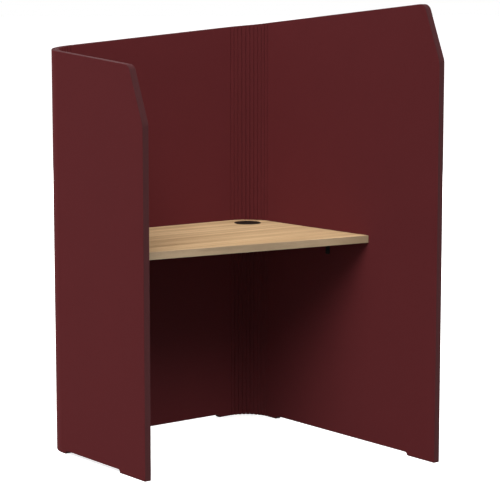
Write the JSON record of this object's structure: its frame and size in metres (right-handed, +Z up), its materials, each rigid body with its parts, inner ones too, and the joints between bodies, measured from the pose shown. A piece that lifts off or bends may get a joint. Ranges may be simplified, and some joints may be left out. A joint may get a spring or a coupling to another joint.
{
  "type": "study carrel",
  "caption": "Study carrel: a tall felt screen folded into a back and two unequal wings, with a sloping top edge, round a skew-fronted oak worktop with a cable outlet.",
  "frame": {"origin": "centre of the footprint, on the floor", "axes": "+X to the sitter's right along the back, +Y towards the back, +Z up; the sitter is on the -Y side"},
  "size_m": [0.907, 0.9934, 1.4921],
  "materials": {
    "screen_felt": "matte",
    "oak_board": "satin",
    "oak_edge": "satin",
    "black_steel": "satin",
    "brass": "satin",
    "black_plastic": "matte"
  },
  "bodies": {
    "carrel": {"screen_panel": "screen_felt", "worktop_board": "oak_board", "worktop_front_band": "oak_edge", "worktop_side_band": "oak_edge", "left_front_bracket": "black_steel", "left_front_worktop_screws": "black_steel", "left_front_screen_screws": "black_steel", "left_front_inserts": "brass", "left_rear_bracket": "black_steel", "left_rear_worktop_screws": "black_steel", "left_rear_screen_screws": "black_steel", "left_rear_inserts": "brass", "back_left_bracket": "black_steel", "back_left_worktop_screws": "black_steel", "back_left_screen_screws": "black_steel", "back_left_inserts": "brass", "back_right_bracket": "black_steel", "back_right_worktop_screws": "black_steel", "back_right_screen_screws": "black_steel", "back_right_inserts": "brass", "right_rear_bracket": "black_steel", "right_rear_worktop_screws": "black_steel", "right_rear_screen_screws": "black_steel", "right_rear_inserts": "brass", "right_front_bracket": "black_steel", "right_front_worktop_screws": "black_steel", "right_front_screen_screws": "black_steel", "right_front_inserts": "brass", "grommet_liner": "black_plastic"},
    "cap": {"grommet_cap": "black_plastic"},
    "closure": {"grommet_closure": "black_plastic"}
  },
  "joints": [
    {"name": "cap_lift", "type": "slide", "parent": "carrel", "child": "cap", "axis": [0, 0, 1], "range_m": [0, 0.04]},
    {"name": "closure_turn", "type": "hinge", "parent": "cap", "child": "closure", "pos_m": [0.3305, 0.3677, 0.7195], "axis": [0, 0, 1], "range_deg": [0, 90]}
  ]
}
